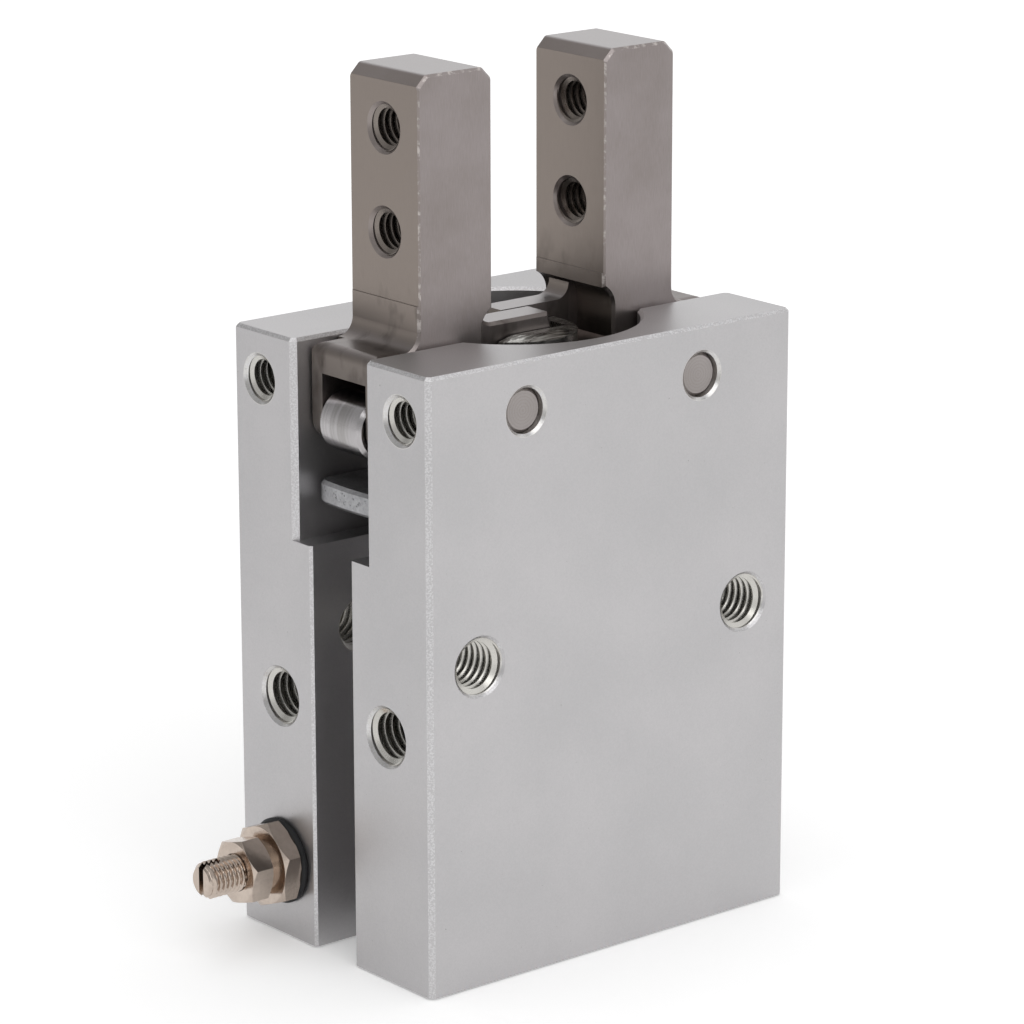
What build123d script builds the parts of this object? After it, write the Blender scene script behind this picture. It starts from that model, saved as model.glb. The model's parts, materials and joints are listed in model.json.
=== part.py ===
from build123d import *
from math import acos, atan2, cos, pi, radians, sin, sqrt, tan
import os

# A double-acting air gripper whose two jaws swing on cross pins, in millimetres.
# Two pistons face each other in one bore. Air under the lower piston lifts the
# centre fork, which lifts the jaws' inner arms and opens them. Air between the
# pistons sends the lower one down and the upper one up, and the upper one lifts
# a flat plate under the rollers in the jaws' heels, which closes them.
# The origin is the middle of the body's bottom face. +Z runs up along the jaws,
# X is the way they swing, and -Y is the front face with the pin ends.

# Driving dimensions of the body
body_width = 41.4
body_depth = 27.4
body_height = 55.2
corner_break = 0.45
rim_break = 0.3
jaw_slot_depth = 18.1
jaw_slot_width = 10.0
slot_mouth_break = 0.5
top_opening_diameter = 22.3
opening_corner_radius = 0.5
sensor_slot_width = 5.6
sensor_slot_wall = 2.2

# Threaded holes, plain at their nominal diameter, and air ways
m5_diameter = 5.0
m4_diameter = 4.0
countersink_width = 0.3
face_hole_spacing = 30.4
face_hole_height = 29.0
side_hole_spacing = 15.2
side_hole_height = 22.3
side_hole_depth = 7.0
upper_hole_spacing = 19.8
upper_hole_drop = 4.4
upper_hole_depth = 6.5
port_offset = 7.6
opening_port_height = 5.8
closing_port_height = 15.0
port_depth = 6.5
air_passage_diameter = 1.6
passage_land = 0.12

# Cylinder
bore_diameter = 20.0
cap_bore_diameter = 20.8
cap_shoulder_height = 6.5
cap_thickness = 4.9
ring_wire_thickness = 1.0
ring_groove_depth = 0.5
ring_width = 1.6
ring_opening = 5.0
ring_eye_diameter = 1.3

# Fits
running_gap = 0.03
seat_gap = 0.02
passing_gap = 0.2
soft_gap = 0.05

# Pistons
opening_piston_height = 8.0
opening_piston_clearance = 3.6
closing_piston_height = 7.5
piston_spacing = 6.5
piston_edge_break = 0.4
rod_diameter = 6.0
rod_spigot_diameter = 4.0
neck_diameter = 11.0
neck_spigot_diameter = 8.6
seal_section = 2.4
seal_depth = 1.5
magnet_width = 2.4
magnet_depth = 1.6
rod_seal_depth = 1.1
cap_seal_section = 1.8
cap_seal_depth = 1.3
bumper_diameter = 12.0
bumper_hole_diameter = 5.0
bumper_thickness = 1.7
bumper_recess = 0.8
piston_bumper_diameter = 16.0
piston_bumper_thickness = 1.2
piston_bumper_recess = 0.6

# Jaws, measured from the pivot
pivot_spacing = 20.0
pivot_drop = 4.5
pivot_pin_diameter = 4.0
pin_recess = 0.5
pin_end_break = 0.3
pin_countersink = 0.25
jaw_top = 28.0
jaw_inner = 3.6
jaw_thickness = 8.0
jaw_depth = 9.5
jaw_top_chamfer = 1.05
jaw_top_softening = 0.5
jaw_edge_break = 0.25
ground_step_height = 8.1
ground_step = 0.1
jaw_hole_drop = 5.05
jaw_hole_pitch = 9.05
web_inner = 2.55
web_arc_height = 5.0
web_arc_radius = 2.0
boss_radius = 3.3
heel_reach = 9.0
heel_top = 4.2
heel_root_radius = 1.6
heel_edge_radius = 1.0
heel_corner_radius = 1.3
window_width = 6.1
window_top = 1.6
window_root = 3.6
arm_top = 5.1
arm_flat_end = 1.4
arm_nose_radius = 2.8
arm_root_radius = 1.4
arm_relief_angle = 16.5
arm_relief_margin = 0.6
arm_edge_break = 0.3
arm_gap = 0.3
arm_width = 2.95

# Rollers and what pushes the jaws
roller_reach = 6.95
roller_drop = 2.65
roller_diameter = 5.5
roller_length = 5.7
roller_edge_break = 0.35
roller_pin_diameter = 2.4
cheek_end_radius = 2.05
plate_parked_gap = 2.7
plate_thickness = 2.1
plate_length = 38.0
plate_width = 9.0
plate_corner_radius = 1.4
plate_end_crown = 0.3
plate_hub_diameter = 18.0
plate_edge_break = 0.3
fork_diameter = 11.2
fork_floor_gap = 0.3
fork_floor_thickness = 2.7
fork_floor_length = 7.5
fork_wall_height = 6.82
fork_wear_width = 1.1
fork_wear_height = 0.42

# Needle valve on the left face
needle_height = 6.95
needle_hole_diameter = 5.0
needle_hole_depth = 7.5
gasket_diameter = 7.8
gasket_thickness = 0.6
gasket_edge_break = 0.2
flange_across_flats = 7.1
flange_thickness = 1.8
flange_turn = 37.5
bush_shank_length = 5.5
bush_neck_diameter = 4.6
bush_neck_length = 0.7
locknut_across_flats = 5.5
locknut_thickness = 2.2
locknut_turn = 45.0
hex_chamfer_angle = 30.0
needle_diameter = 3.4
needle_proud_length = 3.7
needle_tip_break = 0.45
needle_inner_length = 4.2
needle_cone_length = 1.8
needle_cone_diameter = 1.0
driver_slot_width = 0.5
driver_slot_depth = 1.9

# Sizes worked out from these
bore_radius = bore_diameter / 2
ledge_height = body_height - jaw_slot_depth
face_x = body_width / 2
face_y = body_depth / 2
pivot_x = pivot_spacing / 2
pivot_z = body_height - pivot_drop
nose_bottom = pivot_z - arm_nose_radius
fork_floor_top = nose_bottom - fork_floor_gap
fork_floor_bottom = fork_floor_top - fork_floor_thickness
roller_x = pivot_x + roller_reach
roller_z = pivot_z - roller_drop
plate_top = roller_z - roller_diameter / 2 - plate_parked_gap
plate_bottom = plate_top - plate_thickness
bumper_proud = bumper_thickness - bumper_recess
opening_piston_base = cap_shoulder_height + bumper_proud + opening_piston_clearance
closing_piston_base = opening_piston_base + opening_piston_height + piston_spacing
opening_piston_top = opening_piston_base + opening_piston_height
closing_piston_top = closing_piston_base + closing_piston_height

CENTRE = Align.CENTER
LOW = Align.MIN


def round_bar(start, direction, radius, length):
    """A cylinder that starts at a point and runs along a direction."""
    return Plane(origin=start, z_dir=direction) * Cylinder(radius, length, align=(CENTRE, CENTRE, LOW))


def turned(profile):
    """Turn a closed outline of (radius, height) points about the Z axis."""
    outline = make_face(Polyline(*[(r, 0, z) for r, z in profile], close=True))
    return revolve(outline, Axis.Z)


def ring(outer, inner, base, height):
    """A plain ring about the Z axis, given by its radii."""
    return turned([(inner, base), (outer, base), (outer, base + height), (inner, base + height)])


def tapped_hole(mouth, direction, diameter, depth, countersinks=1):
    """The space of a threaded hole: nominal bore with a countersink at its mouth, or at both ends."""
    radius = diameter / 2
    wide = radius + countersink_width
    profile = [(0, 0), (wide, 0), (radius, countersink_width)]
    if countersinks == 2:
        profile += [(radius, depth - countersink_width), (wide, depth), (0, depth)]
    else:
        profile += [(radius, depth), (0, depth)]
    return Plane(origin=mouth, z_dir=direction) * turned(profile)


def flared_slot(length, width, mouth_break):
    """A slot along X through both ends, widened at each mouth."""
    end = length / 2
    half = width / 2
    wide = half + mouth_break
    inner = end - mouth_break
    corners = [(-end, -wide), (-inner, -half), (inner, -half), (end, -wide)]
    corners += [(end, wide), (inner, half), (-inner, half), (-end, wide)]
    return make_face(Polyline(*corners, close=True))


def tangent_point(centre, radius, outside, side):
    """Where a line from an outside point touches a circle; side is +1 or -1."""
    away_x = outside[0] - centre[0]
    away_z = outside[1] - centre[1]
    reach = sqrt(away_x**2 + away_z**2)
    angle = atan2(away_z, away_x) + side * acos(radius / reach)
    return (centre[0] + radius * cos(angle), centre[1] + radius * sin(angle))


def on_circle(centre, radius, angle):
    """A point of a circle, at an angle in radians."""
    return (centre[0] + radius * cos(angle), centre[1] + radius * sin(angle))


def body_outline():
    """The body's plan, with its four corners broken."""
    plan = Rectangle(body_width, body_depth)
    return chamfer(plan.vertices(), corner_break)


def body_block():
    """The machined block: bore, jaw slot, sensor slots, threads and air ports.

    It is one piece on a bench. Here it is split at the ledge into a barrel and two cheeks that
    meet face to face, so that each gets its own collision pieces and the jaw slot stays open.
    """
    sensor_floor = bore_radius + sensor_slot_wall
    sensor = flared_slot(body_width, sensor_slot_width, slot_mouth_break / 2)
    sensor -= Rectangle(2 * sensor_floor, body_depth)
    lower = extrude(body_outline() - sensor, ledge_height)

    opening = Circle(top_opening_diameter / 2) + flared_slot(body_width, jaw_slot_width, slot_mouth_break)
    inner_corners = [v for v in opening.vertices() if abs(v.X) < top_opening_diameter / 2]
    opening = fillet(inner_corners, opening_corner_radius)
    upper = extrude(Pos(0, 0, ledge_height) * (body_outline() - opening), jaw_slot_depth)
    block = lower + upper
    top_faces = block.faces().filter_by(Axis.Z).sort_by(Axis.Z)[-2:]
    block = chamfer(top_faces.edges(), rim_break)

    block -= round_bar((0, 0, 0), (0, 0, 1), bore_radius, ledge_height)
    block -= round_bar((0, 0, 0), (0, 0, 1), cap_bore_diameter / 2, cap_shoulder_height)
    groove_top = cap_shoulder_height - cap_thickness
    groove_radius = cap_bore_diameter / 2 + ring_groove_depth
    block -= round_bar((0, 0, groove_top - ring_wire_thickness - seat_gap), (0, 0, 1), groove_radius,
                       ring_wire_thickness + seat_gap)

    pin_hole = pivot_pin_diameter / 2 + seat_gap
    upper_hole_height = body_height - upper_hole_drop
    for side in (-1, 1):
        block -= round_bar((side * pivot_x, -face_y, pivot_z), (0, 1, 0), pin_hole, body_depth)
        for front in (-1, 1):
            sink = Cone(pin_hole, pin_hole + pin_countersink, pin_countersink, align=(CENTRE, CENTRE, LOW))
            sink_start = (side * pivot_x, front * (face_y - pin_countersink), pivot_z)
            block -= Plane(origin=sink_start, z_dir=(0, front, 0)) * sink
            block -= tapped_hole((side * face_hole_spacing / 2, front * face_y, face_hole_height),
                                 (0, -front, 0), m5_diameter, face_y)
            block -= tapped_hole((side * face_x, front * side_hole_spacing / 2, side_hole_height),
                                 (-side, 0, 0), m5_diameter, side_hole_depth)
            block -= tapped_hole((side * face_x, front * upper_hole_spacing / 2, upper_hole_height),
                                 (-side, 0, 0), m4_diameter, upper_hole_depth)
    block -= air_ways()
    return split(block, bisect_by=Plane.XY.offset(ledge_height), keep=Keep.BOTH)


def air_ways():
    """Both ports on the right face, the needle's hole on the left, and what joins them to the bore."""
    ways = []
    for height in (opening_port_height, closing_port_height):
        ways.append(tapped_hole((face_x, port_offset, height), (-1, 0, 0), m5_diameter, port_depth))
    passage_radius = air_passage_diameter / 2
    chamber_z = cap_shoulder_height + passage_radius + passage_land
    ways.append(round_bar((0, port_offset, chamber_z), (1, 0, 0), passage_radius, face_x - port_depth))
    closing_chamber_z = opening_piston_top + piston_spacing / 2
    bore_wall_x = sqrt(bore_radius**2 - port_offset**2)
    start = Vector(face_x - port_depth / 2, port_offset, closing_port_height)
    target = Vector(bore_wall_x - 2 * passage_radius, port_offset, closing_chamber_z)
    ways.append(round_bar(start, target - start, passage_radius, (target - start).length))
    needle_mouth = (-face_x, port_offset, needle_height)
    ways.append(round_bar(needle_mouth, (1, 0, 0), needle_hole_diameter / 2, needle_hole_depth))
    needle_way = face_x - needle_hole_depth
    ways.append(round_bar((0, port_offset, chamber_z), (-1, 0, 0), passage_radius, needle_way))
    return ways


def jaw_profile():
    """The jaw seen from the front, from the pivot: finger, web, boss and heel, outward to the right."""
    left = -jaw_inner - ground_step
    right = jaw_thickness - jaw_inner + ground_step
    roller = (roller_reach, -roller_drop)
    top_points = [(right, jaw_top - jaw_top_chamfer), (right - jaw_top_chamfer, jaw_top)]
    top_points += [(left + jaw_top_chamfer, jaw_top), (left, jaw_top - jaw_top_chamfer)]
    lower_points = [(left, web_arc_height), (-web_inner, web_arc_height), (-web_inner, 0), (0, -boss_radius)]
    lower_points += [(roller[0], roller[1] - cheek_end_radius), (heel_reach, roller[1])]
    lower_points += [(heel_reach, heel_top), (right, heel_top)]
    profile = make_face(Polyline(*(top_points + lower_points), close=True))
    profile += Circle(boss_radius)
    profile += Pos(*roller) * Circle(cheek_end_radius)
    profile -= Pos(-web_inner - web_arc_radius, web_arc_height) * Circle(web_arc_radius)
    soft = [v for v in profile.vertices() if v.Y > jaw_top - jaw_top_chamfer - 0.01]
    profile = fillet(soft, jaw_top_softening)
    root = profile.vertices().sort_by_distance((right, heel_top, 0))[0]
    profile = fillet(root, heel_root_radius)
    edge = profile.vertices().sort_by_distance((heel_reach, heel_top, 0))[0]
    return fillet(edge, heel_edge_radius)


def arm_profile():
    """The inner arm seen from the front: it reaches past the middle and ends in a round nose."""
    nose = (-pivot_x, 0)
    flat_end = (nose[0] - arm_flat_end, arm_top)
    root = (-jaw_inner, arm_top + arm_root_radius)
    upper_touch = tangent_point(nose, arm_nose_radius, flat_end, 1)
    slope = radians(arm_relief_angle)
    lower_touch = on_circle(nose, arm_nose_radius, slope - pi / 2)
    relief_end = -pivot_x + fork_floor_length / 2 + arm_relief_margin
    relief = (relief_end, lower_touch[1] + (relief_end - lower_touch[0]) * tan(slope))
    boss_touch = on_circle((0, 0), boss_radius, radians(225))
    root_start = (root[0] - arm_root_radius, arm_top)
    root_middle = on_circle((root_start[0], root[1]), arm_root_radius, -pi / 4)
    outline = Polyline((0, 0), boss_touch, relief, lower_touch)
    outline += ThreePointArc(lower_touch, on_circle(nose, arm_nose_radius, radians(215)), upper_touch)
    outline += Polyline(upper_touch, flat_end, root_start)
    outline += ThreePointArc(root_start, root_middle, root)
    outline += Polyline(root, (0, root[1]), (0, 0))
    return make_face(outline)


def slab(profile, low_y, high_y):
    """Stand a front-view outline up at the pivot and give it a depth along Y."""
    front_view = Plane(origin=(pivot_x, high_y, pivot_z), x_dir=(1, 0, 0), z_dir=(0, -1, 0))
    return extrude(front_view * profile, high_y - low_y)


def right_finger():
    """The right jaw with its heel fork, pivot hole, inner arm and threads."""
    half = jaw_depth / 2
    jaw = slab(jaw_profile(), -half, half)
    jaw = chamfer(jaw.faces().filter_by(Axis.Y).edges(), jaw_edge_break)
    corner_z = pivot_z + heel_top - heel_corner_radius
    corner_start = pivot_x + jaw_thickness - jaw_inner + ground_step + heel_root_radius
    for front in (-1, 1):
        corner_y = front * (half - heel_corner_radius)
        block = Pos(corner_start, corner_y + front * heel_corner_radius, corner_z + heel_corner_radius) * Box(
            heel_reach, 2 * heel_corner_radius, 2 * heel_corner_radius, align=(LOW, CENTRE, CENTRE))
        keep = round_bar((corner_start, corner_y, corner_z), (1, 0, 0), heel_corner_radius, heel_reach)
        jaw -= block - keep
    arm_low = arm_gap / 2
    arm = slab(arm_profile(), arm_low, arm_low + arm_width)
    jaw += chamfer(arm.faces().sort_by(Axis.Y)[-1].edges(), arm_edge_break)

    finger_low = pivot_z + ground_step_height
    for side, face in ((-1, -jaw_inner), (1, jaw_thickness - jaw_inner)):
        shaving = Pos(pivot_x + face + side * ground_step, 0, finger_low) * Box(
            2 * ground_step, jaw_depth, jaw_top, align=(CENTRE, CENTRE, LOW))
        jaw -= shaving
    window = Pos(pivot_x + window_root, 0, pivot_z + window_top) * Box(
        heel_reach, window_width, jaw_top, align=(LOW, CENTRE, Align.MAX))
    jaw -= window
    jaw -= round_bar((pivot_x, -half, pivot_z), (0, 1, 0), pivot_pin_diameter / 2 + running_gap, jaw_depth)
    jaw -= round_bar((roller_x, -half, roller_z), (0, 1, 0), roller_pin_diameter / 2 + seat_gap, jaw_depth)
    for index in range(2):
        hole_z = pivot_z + jaw_top - jaw_hole_drop - index * jaw_hole_pitch
        mouth = (pivot_x + jaw_thickness - jaw_inner, 0, hole_z)
        jaw -= tapped_hole(mouth, (-1, 0, 0), m4_diameter, jaw_thickness, countersinks=2)
    return jaw


def pivot_pin():
    """A ground cross pin for the right jaw, chamfered at both ends and held in the body."""
    length = body_depth - 2 * pin_recess
    pin = round_bar((pivot_x, -length / 2, pivot_z), (0, 1, 0), pivot_pin_diameter / 2, length)
    return chamfer(pin.edges().filter_by(GeomType.CIRCLE), pin_end_break)


def side_roller():
    """The hardened roller between the cheeks of the right jaw's heel."""
    start = (roller_x, -roller_length / 2, roller_z)
    roller = round_bar(start, (0, 1, 0), roller_diameter / 2, roller_length)
    roller = chamfer(roller.edges().filter_by(GeomType.CIRCLE), roller_edge_break)
    return roller - round_bar(start, (0, 1, 0), roller_pin_diameter / 2 + running_gap, roller_length)


def roller_pin():
    """The roller's axle, pressed into both cheeks."""
    return round_bar((roller_x, -jaw_depth / 2, roller_z), (0, 1, 0), roller_pin_diameter / 2, jaw_depth)


def side_pusher_plate():
    """The flat plate under both rollers: two arms, a round hub and a hole for the closing neck."""
    end = plate_length / 2
    half = plate_width / 2
    bar = Polyline((end - plate_end_crown, -half), (-end + plate_end_crown, -half))
    bar += ThreePointArc((-end + plate_end_crown, -half), (-end, 0), (-end + plate_end_crown, half))
    bar += Polyline((-end + plate_end_crown, half), (end - plate_end_crown, half))
    bar += ThreePointArc((end - plate_end_crown, half), (end, 0), (end - plate_end_crown, -half))
    arms = make_face(bar)
    arms = fillet(arms.vertices(), plate_corner_radius)
    plan = arms + Circle(plate_hub_diameter / 2)
    roots = [v for v in plan.vertices() if abs(v.X) < plate_hub_diameter / 2]
    plan = fillet(roots, plate_corner_radius)
    plate = extrude(Pos(0, 0, plate_bottom) * plan, plate_thickness)
    plate = chamfer(plate.faces().filter_by(Axis.Z).edges(), plate_edge_break)
    spigot_hole = neck_spigot_diameter / 2 + seat_gap
    return plate - round_bar((0, 0, plate_bottom), (0, 0, 1), spigot_hole, plate_thickness)


def closing_piston():
    """The upper piston with its neck, bored for the opening rod, with a spigot for the plate."""
    outer = bore_radius - running_gap
    inner = rod_diameter / 2 + running_gap
    seal_base = closing_piston_base + (closing_piston_height - seal_section) / 2
    seal_floor = outer - seal_depth
    profile = [(inner, closing_piston_base), (outer - piston_edge_break, closing_piston_base)]
    profile += [(outer, closing_piston_base + piston_edge_break), (outer, seal_base)]
    profile += [(seal_floor, seal_base), (seal_floor, seal_base + seal_section)]
    profile += [(outer, seal_base + seal_section), (outer, closing_piston_top - piston_edge_break)]
    profile += [(outer - piston_edge_break, closing_piston_top), (neck_diameter / 2, closing_piston_top)]
    profile += [(neck_diameter / 2, plate_bottom), (neck_spigot_diameter / 2, plate_bottom)]
    profile += [(neck_spigot_diameter / 2, plate_top), (inner, plate_top)]
    rod_seal_floor = inner + rod_seal_depth
    profile += [(inner, seal_base + seal_section), (rod_seal_floor, seal_base + seal_section)]
    profile += [(rod_seal_floor, seal_base), (inner, seal_base)]
    return turned(profile)


def piston_seal(base, piston_radius):
    """A lip seal that fills its groove, with a shallow valley round the outside."""
    outer = piston_radius
    floor = piston_radius - seal_depth + soft_gap
    low = base + soft_gap
    high = base + seal_section - soft_gap
    valley = (outer - seal_depth / 3, (low + high) / 2)
    lip = seal_section / 5
    return turned([(floor, low), (outer, low), (outer, low + lip), valley, (outer, high - lip),
                   (outer, high), (floor, high)])


def opening_piston():
    """The lower piston: grooves for its seal and its magnet, a bumper seat on top and the rod's bore."""
    outer = bore_radius - running_gap
    inner = rod_spigot_diameter / 2 + seat_gap
    base = opening_piston_base
    top = opening_piston_top
    seal_base = base + seal_section / 2
    seal_floor = outer - seal_depth
    magnet_base = top - magnet_width - seal_section / 2
    magnet_floor = outer - magnet_depth
    bumper_floor = top - piston_bumper_recess
    profile = [(inner, base), (outer - piston_edge_break, base), (outer, base + piston_edge_break)]
    profile += [(outer, seal_base), (seal_floor, seal_base), (seal_floor, seal_base + seal_section)]
    profile += [(outer, seal_base + seal_section), (outer, magnet_base), (magnet_floor, magnet_base)]
    profile += [(magnet_floor, magnet_base + magnet_width), (outer, magnet_base + magnet_width)]
    profile += [(outer, top - piston_edge_break), (outer - piston_edge_break, top)]
    profile += [(piston_bumper_diameter / 2, top), (piston_bumper_diameter / 2, bumper_floor)]
    profile += [(inner, bumper_floor)]
    return turned(profile)


def magnet_ring():
    """The plastic-bonded magnet in the lower piston that the sensors in the side slots read."""
    outer = bore_radius - running_gap - soft_gap
    base = opening_piston_top - magnet_width - seal_section / 2 + seat_gap
    inner = bore_radius - running_gap - magnet_depth + seat_gap
    return ring(outer, inner, base, magnet_width - 2 * seat_gap)


def piston_rod():
    """The opening rod: a shouldered pin through the lower piston, up to the fork."""
    spigot = rod_spigot_diameter / 2
    shaft = rod_diameter / 2
    shoulder = opening_piston_top - piston_bumper_recess
    profile = [(0, opening_piston_base), (spigot, opening_piston_base), (spigot, shoulder), (shaft, shoulder)]
    profile += [(shaft, fork_floor_bottom), (spigot, fork_floor_bottom)]
    profile += [(spigot, fork_floor_top), (0, fork_floor_top)]
    return turned(profile)


def centre_fork():
    """The hardened round end of the rod, with a pocket for each arm's nose that opens towards its own jaw."""
    radius = fork_diameter / 2
    spigot = rod_spigot_diameter / 2 + seat_gap
    top = fork_floor_top + fork_wall_height
    fork = turned([(spigot, fork_floor_bottom), (radius, fork_floor_bottom), (radius, top - fork_wear_height),
                   (radius - fork_wear_width, top), (spigot, top)])
    near_side = arm_gap / 2 - passing_gap
    pocket_width = arm_width + 2 * passing_gap
    closed_end = -arm_nose_radius - fork_floor_gap
    pocket = Pos(closed_end, near_side, fork_floor_top) * Box(
        fork_diameter, pocket_width, 2 * fork_wall_height, align=(LOW, LOW, LOW))
    relief = Pos(fork_floor_length / 2, near_side, fork_floor_bottom) * Box(
        radius, pocket_width, fork_floor_thickness, align=(LOW, LOW, LOW))
    for side_cut in (pocket, relief):
        fork -= side_cut
        fork -= left_of(side_cut)
    return fork


def end_cap():
    """The cap that closes the bore, against a shoulder, with a seal groove and a bumper seat."""
    outer = cap_bore_diameter / 2 - seat_gap
    low = cap_shoulder_height - cap_thickness
    groove_low = low + (cap_thickness - cap_seal_section) / 2
    groove_high = groove_low + cap_seal_section
    groove_floor = outer - cap_seal_depth
    bumper_floor = cap_shoulder_height - bumper_recess
    profile = [(0, low), (outer - piston_edge_break, low), (outer, low + piston_edge_break)]
    profile += [(outer, groove_low), (groove_floor, groove_low), (groove_floor, groove_high)]
    profile += [(outer, groove_high), (outer, cap_shoulder_height)]
    bumper_seat = bumper_diameter / 2 + seat_gap
    profile += [(bumper_seat, cap_shoulder_height), (bumper_seat, bumper_floor), (0, bumper_floor)]
    return turned(profile)


def soft_ring(outer, inner, base, height):
    """A plain rubber ring about the Z axis, with its four corners broken by a third of its wall."""
    corner = (outer - inner) / 3
    top = base + height
    profile = [(inner + corner, base), (outer - corner, base), (outer, base + corner), (outer, top - corner)]
    profile += [(outer - corner, top), (inner + corner, top), (inner, top - corner), (inner, base + corner)]
    return turned(profile)


def cap_seal():
    """The cap's O-ring, squeezed between its groove and the bore."""
    outer = cap_bore_diameter / 2 - seat_gap
    low = cap_shoulder_height - cap_thickness + (cap_thickness - cap_seal_section) / 2 + soft_gap
    return soft_ring(outer, outer - cap_seal_depth + soft_gap, low, cap_seal_section - 2 * soft_gap)


def end_bumper():
    """The soft ring on the cap that stops the lower piston."""
    base = cap_shoulder_height - bumper_recess
    return ring(bumper_diameter / 2, bumper_hole_diameter / 2, base, bumper_thickness)


def piston_bumper():
    """The soft washer on the lower piston that keeps the pistons apart."""
    base = opening_piston_top - piston_bumper_recess
    outer = piston_bumper_diameter / 2 - seat_gap
    return ring(outer, rod_diameter / 2 + soft_gap, base, piston_bumper_thickness)


def retaining_ring():
    """The open spring ring under the cap, with an eye at each end for the pliers."""
    top = cap_shoulder_height - cap_thickness
    outer = cap_bore_diameter / 2 + ring_groove_depth - seat_gap
    inner = outer - ring_width
    plan = Circle(outer) - Circle(inner)
    gap = Pos(0, -outer) * Rectangle(ring_opening, outer)
    plan -= gap
    eye_y = -sqrt((inner - ring_eye_diameter / 2) ** 2 - (ring_opening / 2 + ring_eye_diameter) ** 2)
    for side in (-1, 1):
        eye_x = side * (ring_opening / 2 + ring_eye_diameter)
        lug = Pos(eye_x, eye_y - ring_eye_diameter / 2) * Circle(ring_eye_diameter)
        plan += lug
    for side in (-1, 1):
        eye_x = side * (ring_opening / 2 + ring_eye_diameter)
        plan -= Pos(eye_x, eye_y - ring_eye_diameter / 2) * Circle(ring_eye_diameter / 2)
    return extrude(Pos(0, 0, top - ring_wire_thickness) * plan, ring_wire_thickness)


def along_needle(distance):
    """A plane on the needle's axis, facing out, at a distance from the body's left face."""
    return Plane(origin=(-face_x - distance, port_offset, needle_height), x_dir=(0, 1, 0), z_dir=(-1, 0, 0))


def hexagon_bar(across_flats, length, turn):
    """A hexagon bar with its corners turned down at both ends."""
    corner_radius = across_flats / sqrt(3)
    flat_radius = across_flats / 2
    bar = extrude(RegularPolygon(corner_radius, 6, rotation=turn), length)
    drop = (corner_radius - flat_radius) * tan(radians(hex_chamfer_angle))
    blank = [(0, 0), (flat_radius, 0), (corner_radius, drop), (corner_radius, length - drop)]
    blank += [(flat_radius, length), (0, length)]
    return bar & turned(blank)


def needle_gasket():
    """The black sealing ring under the bush's hexagon, its rim turned to a blunt wedge."""
    outer = gasket_diameter / 2
    shoulder = outer - gasket_edge_break
    inner = needle_hole_diameter / 2 + soft_gap
    rim_top = gasket_thickness - gasket_edge_break
    profile = [(inner, 0), (shoulder, 0), (outer, gasket_edge_break), (outer, rim_top)]
    profile += [(shoulder, gasket_thickness), (inner, gasket_thickness)]
    return along_needle(0) * turned(profile)


def needle_bush():
    """The plated bush: a shank in the body, a hexagon and a short neck."""
    flange = along_needle(gasket_thickness) * hexagon_bar(flange_across_flats, flange_thickness, flange_turn)
    outward = (CENTRE, CENTRE, LOW)
    shank_radius = needle_hole_diameter / 2 - seat_gap
    shank = Cylinder(shank_radius, bush_shank_length + gasket_thickness, align=outward)
    neck_start = gasket_thickness + flange_thickness
    neck = along_needle(neck_start) * Cylinder(bush_neck_diameter / 2, bush_neck_length, align=outward)
    whole = bush_shank_length + neck_start + bush_neck_length
    bore = Cylinder(needle_diameter / 2 + running_gap, whole, align=outward)
    inner_end = along_needle(-bush_shank_length)
    return flange + inner_end * shank + neck - inner_end * bore


def needle_locknut():
    """The small hexagon nut that locks the needle."""
    start = gasket_thickness + flange_thickness + bush_neck_length
    nut = hexagon_bar(locknut_across_flats, locknut_thickness, locknut_turn)
    nut -= Cylinder(needle_diameter / 2 + running_gap, locknut_thickness, align=(CENTRE, CENTRE, LOW))
    return along_needle(start) * nut


def needle_screw():
    """The needle: slotted outer end, plain shank and a fine cone towards the air way."""
    start = gasket_thickness + flange_thickness + bush_neck_length + locknut_thickness
    length = needle_inner_length + start + needle_proud_length
    radius = needle_diameter / 2
    profile = [(0, 0), (needle_cone_diameter / 2, 0), (radius, needle_cone_length)]
    profile += [(radius, length - needle_tip_break), (radius - needle_tip_break, length), (0, length)]
    needle = turned(profile)
    slot = Pos(0, 0, length) * Box(driver_slot_width, needle_diameter, 2 * driver_slot_depth)
    return along_needle(-needle_inner_length) * (needle - slot)


def rod_seal():
    """The soft ring in the closing piston's bore, round the opening rod."""
    inner = rod_diameter / 2 + running_gap
    base = closing_piston_base + (closing_piston_height - seal_section) / 2 + soft_gap
    return ring(inner + rod_seal_depth - soft_gap, inner, base, seal_section - 2 * soft_gap)


def left_of(solid):
    """The same piece on the left jaw: turned half round the body's upright axis."""
    return Rot(0, 0, 180) * solid


right_jaw_pieces = {
    "finger": right_finger(),
    "side_roller": side_roller(),
    "roller_pin": roller_pin(),
    "pivot_pin": pivot_pin(),
}

nodes = {
    "body_block": body_block(),
    "end_cap": end_cap(),
    "cap_seal": cap_seal(),
    "retaining_ring": retaining_ring(),
    "end_bumper": end_bumper(),
    "opening_piston": opening_piston(),
    "opening_piston_seal": piston_seal(opening_piston_base + seal_section / 2, bore_radius - running_gap),
    "magnet_ring": magnet_ring(),
    "piston_bumper": piston_bumper(),
    "piston_rod": piston_rod(),
    "centre_fork": centre_fork(),
    "closing_piston": closing_piston(),
    "closing_piston_seal": piston_seal(
        closing_piston_base + (closing_piston_height - seal_section) / 2, bore_radius - running_gap),
    "rod_seal": rod_seal(),
    "side_pusher_plate": side_pusher_plate(),
    "needle_gasket": needle_gasket(),
    "needle_bush": needle_bush(),
    "needle_locknut": needle_locknut(),
    "needle_screw": needle_screw(),
}
for name, piece in right_jaw_pieces.items():
    nodes[name + "_right"] = piece
    nodes[name + "_left"] = left_of(piece)

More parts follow.
